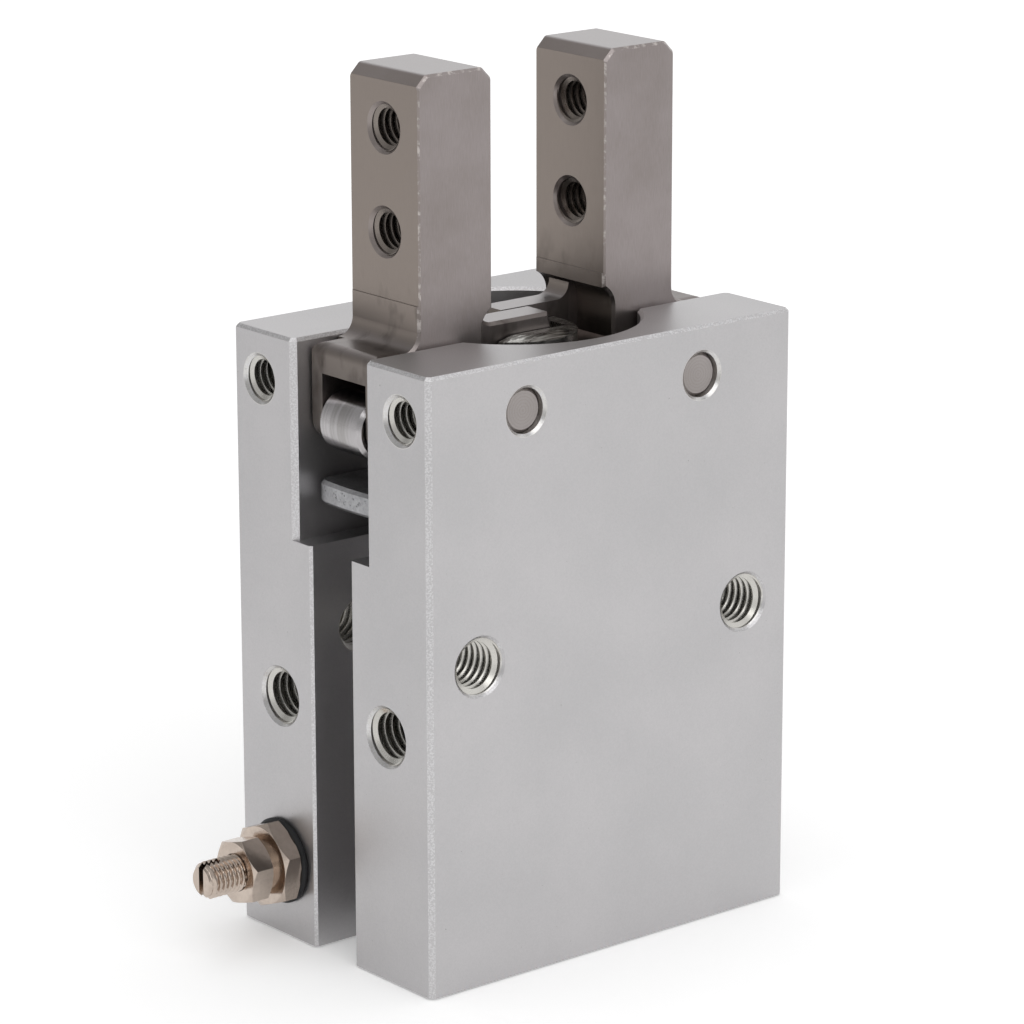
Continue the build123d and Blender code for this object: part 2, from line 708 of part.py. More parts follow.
os.makedirs("parts", exist_ok=True)
for name, piece in nodes.items():
    export_step(piece, "parts/" + name + ".step")
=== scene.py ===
"""The looks of a small two-jaw air gripper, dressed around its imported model.

Sizes are in millimetres and are turned to metres where geometry is made. Every class is one
sub-assembly, one finish or one tool for making them, and main() dresses them in order.
"""

import json
import logging
import math
from dataclasses import dataclass
from enum import Enum

import bmesh
import bpy
from mathutils import Matrix, Vector

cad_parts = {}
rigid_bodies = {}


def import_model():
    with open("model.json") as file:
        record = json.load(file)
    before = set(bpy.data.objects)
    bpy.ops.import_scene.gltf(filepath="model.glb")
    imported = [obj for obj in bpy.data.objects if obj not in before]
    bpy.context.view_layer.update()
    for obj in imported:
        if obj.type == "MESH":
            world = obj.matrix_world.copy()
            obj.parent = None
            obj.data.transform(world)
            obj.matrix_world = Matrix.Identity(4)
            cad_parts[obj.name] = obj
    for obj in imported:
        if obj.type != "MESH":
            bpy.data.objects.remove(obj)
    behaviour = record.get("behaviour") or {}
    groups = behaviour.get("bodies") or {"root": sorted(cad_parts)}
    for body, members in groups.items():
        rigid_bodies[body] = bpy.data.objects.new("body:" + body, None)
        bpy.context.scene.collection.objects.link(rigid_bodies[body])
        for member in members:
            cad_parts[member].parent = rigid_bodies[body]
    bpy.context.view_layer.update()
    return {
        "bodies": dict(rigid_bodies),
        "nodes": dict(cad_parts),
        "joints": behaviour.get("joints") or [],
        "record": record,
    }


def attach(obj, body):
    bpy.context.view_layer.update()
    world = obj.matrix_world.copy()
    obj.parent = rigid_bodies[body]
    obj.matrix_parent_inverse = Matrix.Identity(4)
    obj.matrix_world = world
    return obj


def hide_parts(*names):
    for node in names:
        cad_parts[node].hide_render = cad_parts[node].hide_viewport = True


MM = 0.001
LOG = logging.getLogger("gripper")

Point = tuple[float, float, float]
Mouth = tuple[Point, Point]
Socket = bpy.types.NodeSocket
Layer = tuple[str, tuple[Socket, ...]]

# Nearly all of a noise lies between the first two levels, and most of it between the others.
NOISE_LOW, NOISE_HIGH = 0.3, 0.7
MIDDLE_LOW, MIDDLE_HIGH = 0.38, 0.62
# The parts that the slow noise and the grain have in the mix of a finish's two colours.
CLOUD_PART, GRAIN_PART = 0.65, 0.35
# How far above its level a rim's noise is when the edge is worn quite bright.
RIM_SOFTNESS = 0.15
# A facet whose facing lies less than this along every axis is a chamfer or a fillet.
SQUARE = 0.93
# How much of a facet's facing lies along an axis where it begins to lean towards it, and where it does.
LEANING = (0.3, 0.31)
# How many octaves a fine and a slow noise have, and how strong each is over the one before.
FINE = {"Detail": 3.0, "Roughness": 0.6}
SLOW = {"Detail": 4.0, "Roughness": 0.55}


class Side(Enum):
    """The two sides of the gripper, by the sign of X."""

    LEFT = -1
    RIGHT = 1

    @property
    def word(self) -> str:
        """The side as it stands in a node's name."""
        return self.name.lower()


def linear(hex_colour: str) -> tuple[float, float, float, float]:
    """Turn an sRGB hex colour to linear RGBA.

    Args:
        hex_colour: Six hex digits, with or without a hash.

    Returns:
        Red, green and blue in linear light, and an alpha of 1.
    """
    digits = hex_colour.lstrip("#")
    channels = [int(digits[i:i + 2], 16) / 255 for i in (0, 2, 4)]
    low = [c / 12.92 if c <= 0.04045 else ((c + 0.055) / 1.055) ** 2.4 for c in channels]
    return (low[0], low[1], low[2], 1.0)


def add(tree: bpy.types.NodeTree, kind: str, values: dict | None = None, out: int | str = 0,
        **settings) -> Socket | None:
    """Add a node, set its properties and fill or link its sockets.

    Args:
        tree: The node tree that it goes into.
        kind: The node's type, where ShaderNode is left out.
        values: Input socket names or numbers, each with a value or an output socket.
        out: The name or number of the output that is asked for.
        settings: Properties of the node.

    Returns:
        That output, or nothing where the node has none.
    """
    node = tree.nodes.new(kind if "Node" in kind else "ShaderNode" + kind)
    for name, value in settings.items():
        setattr(node, name, value)
    for key, value in (values or {}).items():
        if isinstance(value, Socket):
            tree.links.new(value, node.inputs[key])
        else:
            node.inputs[key].default_value = value
    return node.outputs[out] if node.outputs else None


def per_mm(size: float) -> float:
    """Texture scale, in turns per metre, for a pattern of a size in millimetres."""
    return 1.0 / (size * MM)


@dataclass(frozen=True)
class RoundSpot:
    """A round hole that runs along one axis, in millimetres."""

    # 1 for the two axes that its circle lies in and 0 for the one that it runs along.
    mask: Point
    # Its centre, with X and Y taken as distances from the middle.
    centre: Point
    # How far the machined rim reaches.
    radius: float


ALONG_Y = (1.0, 0.0, 1.0)
ALONG_X = (0.0, 1.0, 1.0)
PIN_SPOT = RoundSpot(ALONG_Y, (10.0, 0.0, 50.7), 2.3)


@dataclass(frozen=True)
class Canvas:
    """A material's tree, with the coordinates and noises that its finish draws with."""

    tree: bpy.types.NodeTree
    # Object coordinates, in metres.
    place: Socket
    # The same without signs, so that one hole stands for its mirror images.
    folded: Socket
    # The way that the facet faces along the piece's own axes, without signs.
    facing: Socket
    # The fine noise, about 0.5 at its mean.
    grain: Socket
    # The slow noise, about 0.5 at its mean.
    cloud: Socket

    def blots(self, size: float, low: float, high: float, stretch: Point = (1.0, 1.0, 1.0)) -> Socket:
        """Draw blots of a size, soft between two levels of a noise.

        Args:
            size: The blots' size in millimetres.
            low: The noise level under which there is none.
            high: The noise level over which a blot is full.
            stretch: How much longer a blot is along X, Y and Z.

        Returns:
            0 between the blots and 1 inside one.
        """
        drawn = add(self.tree, "VectorMath", {0: self.place, 1: stretch}, operation="DIVIDE")
        noise = add(self.tree, "TexNoise", {"Vector": drawn, "Scale": per_mm(size), **FINE})
        return add(self.tree, "MapRange", {"Value": noise, "From Min": low, "From Max": high})

    def away(self, spot: RoundSpot) -> Socket:
        """Measure how far a point is from a hole's axis.

        Args:
            spot: The hole.

        Returns:
            The distance in metres.
        """
        flat = add(self.tree, "VectorMath", {0: self.folded, 1: spot.mask}, operation="MULTIPLY")
        centre = tuple(c * m * MM for c, m in zip(spot.centre, spot.mask))
        return add(self.tree, "VectorMath", {0: flat, 1: centre}, operation="DISTANCE", out="Value")

    def inside(self, spots: tuple[RoundSpot, ...]) -> Socket:
        """Find what lies inside one of a few round holes.

        Args:
            spots: The holes.

        Returns:
            1 inside a hole and 0 elsewhere.
        """
        found = 0.0
        for spot in spots:
            here = add(self.tree, "Math", {0: self.away(spot), 1: spot.radius * MM}, operation="LESS_THAN")
            found = add(self.tree, "Math", {0: found, 1: here}, operation="MAXIMUM")
        return found

    def ramp(self, vector: Socket, axis: int, none: float, full: float) -> Socket:
        """Find how far one part of a vector is from one number towards another.

        Args:
            vector: The vector.
            axis: 0 for X, 1 for Y and 2 for Z.
            none: The number where the mask is 0.
            full: The number where it is 1.

        Returns:
            A mask from 0 to 1.
        """
        part = add(self.tree, "SeparateXYZ", {0: vector}, out=axis)
        return add(self.tree, "MapRange", {"Value": part, "From Min": none, "From Max": full})

    def faces(self, axis: int, none: float = 0.6, full: float = 0.9) -> Socket:
        """Find the facets square to an axis, by how much of their facing lies along it."""
        return self.ramp(self.facing, axis, none, full)

    def level(self, none: float, full: float) -> Socket:
        """Find how far a point is from one height towards another, in millimetres."""
        return self.ramp(self.place, 2, none * MM, full * MM)

    def beyond(self, reach: float) -> Socket:
        """Find what lies farther from the middle along X than a reach.

        Args:
            reach: The distance in millimetres.

        Returns:
            1 beyond it and 0 within it.
        """
        across = add(self.tree, "SeparateXYZ", {0: self.folded})
        return add(self.tree, "Math", {0: across, 1: reach * MM}, operation="GREATER_THAN")


@dataclass(frozen=True)
class Finish:
    """A surface finish: what it is made of and how its surface was left."""

    # The material's name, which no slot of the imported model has.
    name: str
    colour: str
    # The darker colour that its slow variation leans to.
    shade: str
    metallic: float = 1.0
    roughness: float = 0.4
    # How far the grain moves the roughness each way.
    roughness_swing: float = 0.05
    # How much it reflects head on, where 0.5 is plain plastic.
    specular: float = 0.5
    # The size of its grain.
    grain: float = 0.2
    # How much longer the grain is along X, Y and Z.
    grain_stretch: Point = (1.0, 1.0, 1.0)
    # The height of the grain.
    relief: float = 0.004
    # The size of the slow variation.
    cloud: float = 9.0
    # How much of the shade the slow variation takes.
    contrast: float = 0.5
    # The colour of broken edges and of the jaws' painted edge sheen, or nothing where they look like the
    # rest.
    rim: str = ""
    # The size of the specks along those edges.
    rim_grain: float = 0.35
    # The noise level over which an edge is worn bright.
    rim_level: float = 0.38

    def make(self) -> bpy.types.Material:
        """Build the material, or return it if it was built before.

        Returns:
            The finished material.
        """
        found = bpy.data.materials.get(self.name)
        if found:
            return found
        material = bpy.data.materials.new(self.name)
        material.use_nodes = True
        material.node_tree.nodes.clear()
        canvas = self.stretch_canvas(material.node_tree)
        mean = add(canvas.tree, "MapRange", {
            "Value": canvas.grain, "From Min": NOISE_LOW, "From Max": NOISE_HIGH,
            "To Min": self.roughness - self.roughness_swing, "To Max": self.roughness + self.roughness_swing,
        })
        bump = add(canvas.tree, "Bump", {"Height": self.height(canvas), "Distance": self.relief * MM})
        shader = add(canvas.tree, "BsdfPrincipled", {
            "Base Color": self.paint(canvas), "Metallic": self.metallic, "Specular IOR Level": self.specular,
            "Roughness": self.polish(canvas, mean), "Normal": bump,
        })
        add(canvas.tree, "OutputMaterial", {"Surface": shader})
        return material

    def stretch_canvas(self, tree: bpy.types.NodeTree) -> Canvas:
        """Add the coordinates and the two noises that the whole finish draws with.

        Args:
            tree: The material's empty tree.

        Returns:
            The canvas.
        """
        place = add(tree, "TexCoord", out="Object")
        facing = add(tree, "NewGeometry", out="True Normal")
        own = add(tree, "VectorTransform", {"Vector": facing}, vector_type="NORMAL",
                  convert_from="WORLD", convert_to="OBJECT")
        folded, unsigned = (add(tree, "VectorMath", {0: v}, operation="ABSOLUTE") for v in (place, own))
        drawn = add(tree, "VectorMath", {0: place, 1: self.grain_stretch}, operation="DIVIDE")
        grain = add(tree, "TexNoise", {"Vector": drawn, "Scale": per_mm(self.grain), **FINE})
        cloud = add(tree, "TexNoise", {"Vector": place, "Scale": per_mm(self.cloud), **SLOW})
        return Canvas(tree, place, folded, unsigned, grain, cloud)

    def paint(self, canvas: Canvas) -> Socket:
        """Lay every layer over the finish's own colour, each as strong as its masks multiplied.

        Args:
            canvas: What the finish draws with.

        Returns:
            The base colour.
        """
        colour = linear(self.colour)
        for shade, masks in (*self.drift(canvas), *self.layers(canvas), *self.wear(canvas)):
            strength = masks[0]
            for mask in masks[1:]:
                strength = add(canvas.tree, "Math", {0: strength, 1: mask}, operation="MULTIPLY")
            colour = add(canvas.tree, "Mix", {0: strength, 6: colour, 7: linear(shade)},
                         data_type="RGBA", out=2)
        return colour

    def drift(self, canvas: Canvas) -> list[Layer]:
        """Lay the shade by the slow variation and some of the grain.

        Args:
            canvas: What the finish draws with.

        Returns:
            That one layer.
        """
        slow = add(canvas.tree, "Math", {0: canvas.cloud, 1: CLOUD_PART}, operation="MULTIPLY")
        both = add(canvas.tree, "Math", {0: canvas.grain, 1: GRAIN_PART, 2: slow}, operation="MULTIPLY_ADD")
        spread = add(canvas.tree, "MapRange", {
            "Value": both, "From Min": MIDDLE_LOW, "From Max": MIDDLE_HIGH, "To Max": self.contrast,
        })
        return [(self.shade, (spread,))]

    def layers(self, canvas: Canvas) -> list[Layer]:
        """Colour single places. The plain finish has none."""
        return []

    def wear(self, canvas: Canvas) -> list[Layer]:
        """Brighten the broken edges in specks, partly painted sheen on the jaws, where there is a rim colour.

        Args:
            canvas: What the finish draws with.

        Returns:
            That one layer, or none.
        """
        if not self.rim:
            return []
        specks = canvas.blots(self.rim_grain, self.rim_level, self.rim_level + RIM_SOFTNESS)
        return [(self.rim, (*self.edges(canvas), specks))]

    def edges(self, canvas: Canvas) -> tuple[Socket, ...]:
        """Find the chamfers: facets that face none of the piece's own three axes.

        Args:
            canvas: What the finish draws with.

        Returns:
            Masks that are all 1 on an edge that wears.
        """
        most = 0.0
        for part in add(canvas.tree, "SeparateXYZ", {0: canvas.facing}).node.outputs:
            most = add(canvas.tree, "Math", {0: most, 1: part}, operation="MAXIMUM")
        return (add(canvas.tree, "Math", {0: most, 1: SQUARE}, operation="LESS_THAN"),)

    def polish(self, canvas: Canvas, roughness: Socket) -> Socket:
        """Change the roughness in places. The plain finish leaves it."""
        return roughness

    def height(self, canvas: Canvas) -> Socket:
        """Draw the relief that the bump follows. The plain finish has its grain."""
        return canvas.grain


@dataclass(frozen=True)
class AnodisedBlock(Finish):
    """Clear anodised aluminium over a fine blast, with holes that were cut after it."""

    # The colour of cut metal in the holes and their countersinks.
    bare: str = "#D0CECB"
    bare_roughness: float = 0.28
    # The colour of the few dark specks.
    speck: str = "#8C8A88"
    spots: tuple[RoundSpot, ...] = ()
    # How far from the middle the broken upright corners begin, along X.
    corner_reach: float = 20.0

    def edges(self, canvas: Canvas) -> tuple[Socket, ...]:
        """Take the chamfers of the top and of the corners, but not the round walls inside.

        Args:
            canvas: What the finish draws with.

        Returns:
            Masks that are all 1 on an edge that wears.
        """
        either = add(canvas.tree, "Math", {0: canvas.faces(2, *LEANING), 1: canvas.beyond(self.corner_reach)},
                     operation="MAXIMUM")
        return (*super().edges(canvas), either)

    def layers(self, canvas: Canvas) -> list[Layer]:
        """Scatter a few dark specks, and show bare metal with dull specks in the holes.

        Args:
            canvas: What the finish draws with.

        Returns:
            The layers, the lowest first.
        """
        holes = canvas.inside(self.spots)
        return [
            (self.speck, (canvas.blots(0.35, low=0.735, high=0.77),)),
            (self.bare, (holes,)),
            (self.shade, (holes, canvas.blots(0.2, low=0.5, high=0.75))),
        ]

    def polish(self, canvas: Canvas, roughness: Socket) -> Socket:
        """Make the machined holes smoother than the blasted faces."""
        return add(canvas.tree, "Mix", {0: canvas.inside(self.spots), 2: roughness, 3: self.bare_roughness})


@dataclass(frozen=True)
class GroundJawSteel(Finish):
    """Heat-treated steel, ground along its length on two faces, darker elsewhere with painted shade."""

    # The colour of the faces square to X: the heat's browner colour, with painted shade over it.
    side_shade: str = "#928881"
    # The painted light on the fingers' and arms' up-facing tops, as light from above falls on them.
    top_shade: str = "#AAA6A6"
    # The colour below the ground finger: darker unground steel with painted shade, full on the arms' fronts.
    heel_shade: str = "#6A6460"
    stain: str = "#4C4541"
    # The height where the grinding of the finger ends.
    ground_line: float = 58.8
    # How far below that line the colour has changed fully.
    heel_fade: float = 8.0
    # How much of that change and of the smudges the fingers' fronts are spared.
    front_share: float = 0.85
    # How far above that line the smudges begin.
    stain_above: float = 3.0
    # How far below it they are full.
    stain_below: float = 2.0
    # The height above which the edges are worn.
    edge_line: float = 56.0
    # How far above it they are worn fully.
    edge_step: float = 0.1
    # How far from the middle the arms' tops end, which get the painted top light at every height.
    arm_reach: float = 6.4
    # The threaded holes, whose walls are no worn edges.
    holes: tuple[RoundSpot, ...] = ()

    def edges(self, canvas: Canvas) -> tuple[Socket, ...]:
        """Take the finger's chamfers along its front and back, but not the profile's fillets.

        Args:
            canvas: What the finish draws with.

        Returns:
            Masks that are all 1 on an edge that wears.
        """
        above = add(canvas.tree, "Math", {
            0: canvas.level(self.edge_line, self.edge_line + self.edge_step), 1: canvas.inside(self.holes),
        }, operation="SUBTRACT", use_clamp=True)
        return (*super().edges(canvas), canvas.faces(1, *LEANING), above)

    def layers(self, canvas: Canvas) -> list[Layer]:
        """Paint shade on the brown sides and unground lower part, smudge it and paint light on the tops.

        Args:
            canvas: What the finish draws with.

        Returns:
            The layers, the lowest first.
        """
        line = self.ground_line
        beside = canvas.beyond(self.arm_reach)
        front = add(canvas.tree, "Math", {0: canvas.faces(1), 1: beside}, operation="MULTIPLY")
        rest = add(canvas.tree, "Math", {0: front, 1: -self.front_share, 2: 1.0}, operation="MULTIPLY_ADD")
        heel = add(canvas.tree, "Math", {0: beside, 1: canvas.level(line, line + 1.0)},
                   operation="SUBTRACT", use_clamp=True)
        # This mask is painted top light: the up-facing tops, less the heel below the ground line.
        ground = add(canvas.tree, "Math", {0: canvas.faces(2, none=0.8, full=0.95), 1: heel},
                     operation="SUBTRACT", use_clamp=True)
        smudges = canvas.blots(2.6, low=0.52, high=0.8, stretch=(1.0, 1.0, 1.8))
        # Browner sides in painted shade, painted shade below the ground line, smudges, painted light on the
        # tops.
        return [
            (self.side_shade, (canvas.faces(0),)),
            (self.heel_shade, (canvas.level(line, line - self.heel_fade), rest)),
            (self.stain, (canvas.level(line + self.stain_above, line - self.stain_below), rest, smudges)),
            (self.top_shade, (ground,)),
        ]


@dataclass(frozen=True)
class BandedRoller(Finish):
    """Hardened steel that rolled on a plate: polished, with dull wear bands round it."""

    band: str = "#A09D9C"
    # The size of a band along the roller.
    band_width: float = 0.8

    def layers(self, canvas: Canvas) -> list[Layer]:
        """Lay dull bands round the roller, whose axis is Y."""
        bands = canvas.blots(self.band_width, low=0.42, high=0.6, stretch=(30.0, 1.0, 30.0))
        return [(self.band, (bands,))]


@dataclass(frozen=True)
class SinteredPlate(Finish):
    """Sintered steel as it left the press: grey, pitted, and smeared smooth on top."""

    pit_shade: str = "#5A5A5C"
    # The size of the pits.
    pit: float = 0.4

    def layers(self, canvas: Canvas) -> list[Layer]:
        """Darken the pits on the upright sides, and leave the smeared top without them."""
        sides = canvas.faces(2, none=0.9, full=0.2)
        return [(self.pit_shade, (sides, canvas.blots(self.pit, low=0.6, high=0.7)))]


@dataclass(frozen=True)
class WornFork(Finish):
    """Hard steel that the jaws' arms rub on: dark grey with a scratched bright upper edge."""

    scratch: str = "#DCDCD8"
    # The height where the wear begins.
    worn_from: float = 53.5
    # The height where it is full.
    worn_to: float = 54.1

    def layers(self, canvas: Canvas) -> list[Layer]:
        """Scratch the upper edge bright, in long strokes along X."""
        strokes = canvas.blots(0.3, low=0.46, high=0.62, stretch=(9.0, 1.0, 1.0))
        return [(self.scratch, (canvas.level(self.worn_from, self.worn_to), strokes))]


@dataclass(frozen=True)
class TurnedEnd(Finish):
    """Ground steel whose end faces, square to Y, show the rings of the lathe tool."""

    # The spacing of the rings.
    pitch: float = 0.28
    # The hole that the pin sits in, whose axis the rings go round.
    axis: RoundSpot = PIN_SPOT
    ring_shade: str = "#6B645E"
    # How much of that colour shows between the rings.
    ring_depth: float = 0.14
    # The height of the wave where it begins to show.
    ring_from: float = 0.2
    # How high the rings stand, over the grain's height.
    ring_height: float = 0.06

    def rings(self, canvas: Canvas) -> Socket:
        """Draw rings about the pin's axis.

        Args:
            canvas: What the finish draws with.

        Returns:
            A wave from -1 to 1.
        """
        turns = add(canvas.tree, "Math", {0: canvas.away(self.axis), 1: 2 * math.pi / (self.pitch * MM)},
                    operation="MULTIPLY")
        return add(canvas.tree, "Math", {0: turns}, operation="SINE")

    def layers(self, canvas: Canvas) -> list[Layer]:
        """Darken between the rings.

        Args:
            canvas: What the finish draws with.

        Returns:
            That one layer.
        """
        between = add(canvas.tree, "MapRange", {
            "Value": self.rings(canvas), "From Min": self.ring_from, "To Max": self.ring_depth,
        })
        return [(self.ring_shade, (between,))]

    def height(self, canvas: Canvas) -> Socket:
        """Add the rings to the grain."""
        return add(canvas.tree, "Math", {0: self.rings(canvas), 1: self.ring_height, 2: canvas.grain},
                   operation="MULTIPLY_ADD")


@dataclass(frozen=True)
class Palette:
    """Every finish of the gripper."""

    # Aluminium, glass blasted and clear anodised: a pale even grey with wide soft reflections.
    # The blast's pits are about 0.05 mm wide, drawn at 0.16 mm so that they show. The holes and
    # the broken edges are bare bright metal.
    block: Finish = AnodisedBlock(
        "clear_anodised_aluminium", "#C3C1C2", "#B8B7B8", roughness=0.42, roughness_swing=0.05, grain=0.16,
        relief=0.005, cloud=12.0, contrast=0.6, rim="#D6D5D6", rim_grain=0.16, rim_level=0.44,
        spots=(RoundSpot(ALONG_Y, (15.2, 0.0, 29.0), 2.6), RoundSpot(ALONG_X, (0.0, 7.6, 22.3), 2.75),
               RoundSpot(ALONG_X, (0.0, 9.9, 50.8), 2.35), PIN_SPOT))
    # Aluminium turned on a lathe and anodised: a little darker and smoother than the block.
    cap: Finish = Finish("turned_cap_aluminium", "#B4B4B2", "#A4A4A2", roughness=0.35, grain=0.3)
    # Aluminium turned bright, hidden in the bore.
    piston: Finish = Finish("turned_piston_aluminium", "#B8B8B6", "#A6A6A4", roughness=0.28, grain=0.3)
    # Tool steel, hardened and fine ground along Z: warm grey with a faint upright brushing. The
    # wheel's lines are about 0.02 mm apart, drawn at 0.07 mm. Its edges are nicked bright, with painted
    # sheen.
    jaw: Finish = GroundJawSteel(
        "ground_jaw_steel", "#9B9392", "#8D8582", roughness=0.36, roughness_swing=0.06, grain=0.07,
        grain_stretch=(1.0, 1.0, 14.0), relief=0.002, cloud=7.0, contrast=0.8, rim="#C2BBB7", rim_grain=0.6,
        rim_level=0.5,
        holes=(RoundSpot(ALONG_X, (0.0, 0.0, 73.65), 2.6), RoundSpot(ALONG_X, (0.0, 0.0, 64.6), 2.6)))
    # Ground pin steel, cut to length on a lathe: brownish ends with the tool's rings. Their
    # pitch is about 0.1 mm, drawn at 0.28 mm.
    pin: Finish = TurnedEnd(
        "turned_pin_steel", "#A19B99", "#8B8582", roughness=0.34, grain=0.12, relief=0.004)
    # Bearing steel, hardened and polished: smooth, with duller bands where the plate bears.
    roller: Finish = BandedRoller(
        "rolled_bearing_steel", "#B9B6B7", "#A19E9F", roughness=0.2, roughness_swing=0.04, grain=0.08,
        grain_stretch=(12.0, 1.0, 12.0), relief=0.001)
    # Hardened fork steel, rubbed by the arms: uneven grey, scratched bright along the top.
    fork: Finish = WornFork(
        "worn_fork_steel", "#908E8B", "#716F6C", roughness=0.3, roughness_swing=0.06, grain=0.3,
        grain_stretch=(6.0, 1.0, 1.0), relief=0.004, cloud=2.0, contrast=0.8)
    # Sintered steel, pressed and left rough: bluish grey with dark open pores. The pores are
    # about 0.1 mm, drawn at 0.4 mm.
    plate: Finish = SinteredPlate(
        "sintered_plate_steel", "#B4B4B6", "#9A9A9C", roughness=0.44, roughness_swing=0.1, grain=0.3,
        relief=0.01, cloud=2.0, contrast=0.9)
    # Aluminium thread turns as the tap left them: bright and sharp.
    thread: Finish = Finish(
        "cut_thread_aluminium", "#CFCDC8", "#B6B3AD", roughness=0.24, grain=0.1, relief=0.002)
    # The same in the hardened jaws: darker and warmer.
    jaw_thread: Finish = Finish(
        "cut_thread_steel", "#8A827C", "#6A625C", roughness=0.3, grain=0.1, relief=0.002)
    # Nickel plate on turned brass: warm, bright and smooth, a little uneven from handling.
    nickel: Finish = Finish(
        "bright_nickel_plate", "#CBBDB1", "#B3A59A", roughness=0.18, roughness_swing=0.04, grain=0.4,
        relief=0.001, cloud=2.5, contrast=0.7)
    # Moulded black nitrile: dull and almost black.
    rubber: Finish = Finish(
        "black_nitrile", "#1B1C1E", "#141416", metallic=0.0, roughness=0.55, specular=0.35, grain=0.15)
    # Cast urethane: amber and slightly glossy.
    urethane: Finish = Finish("amber_urethane", "#9C7B3C", "#86672F", metallic=0.0, roughness=0.4, grain=0.4)
    # Ferrite bonded in plastic: a dull near-black grey.
    magnet: Finish = Finish("bonded_ferrite", "#3A3A3C", "#2C2C2E", metallic=0.0, roughness=0.6, grain=0.2)
    # Spring steel with a black oxide: dark, with a soft shine.
    spring: Finish = Finish("blackened_spring_steel", "#3C3B3A", "#2C2B2A", roughness=0.38, grain=0.2)


@dataclass(frozen=True)
class Thread:
    """A metric thread: its nominal diameter and its pitch."""

    diameter: float
    pitch: float

    # The turns' height and their widths at the wall and at the crest, all over the pitch.
    HEIGHT = 0.5413
    ROOT = 0.86
    CREST = 0.22

    @property
    def ridge_height(self) -> float:
        """How far the turns stand in from the nominal diameter."""
        return self.HEIGHT * self.pitch


M5 = Thread(5.0, 0.8)
M4 = Thread(4.0, 0.7)
NEEDLE_THREAD = Thread(3.4, 0.5)


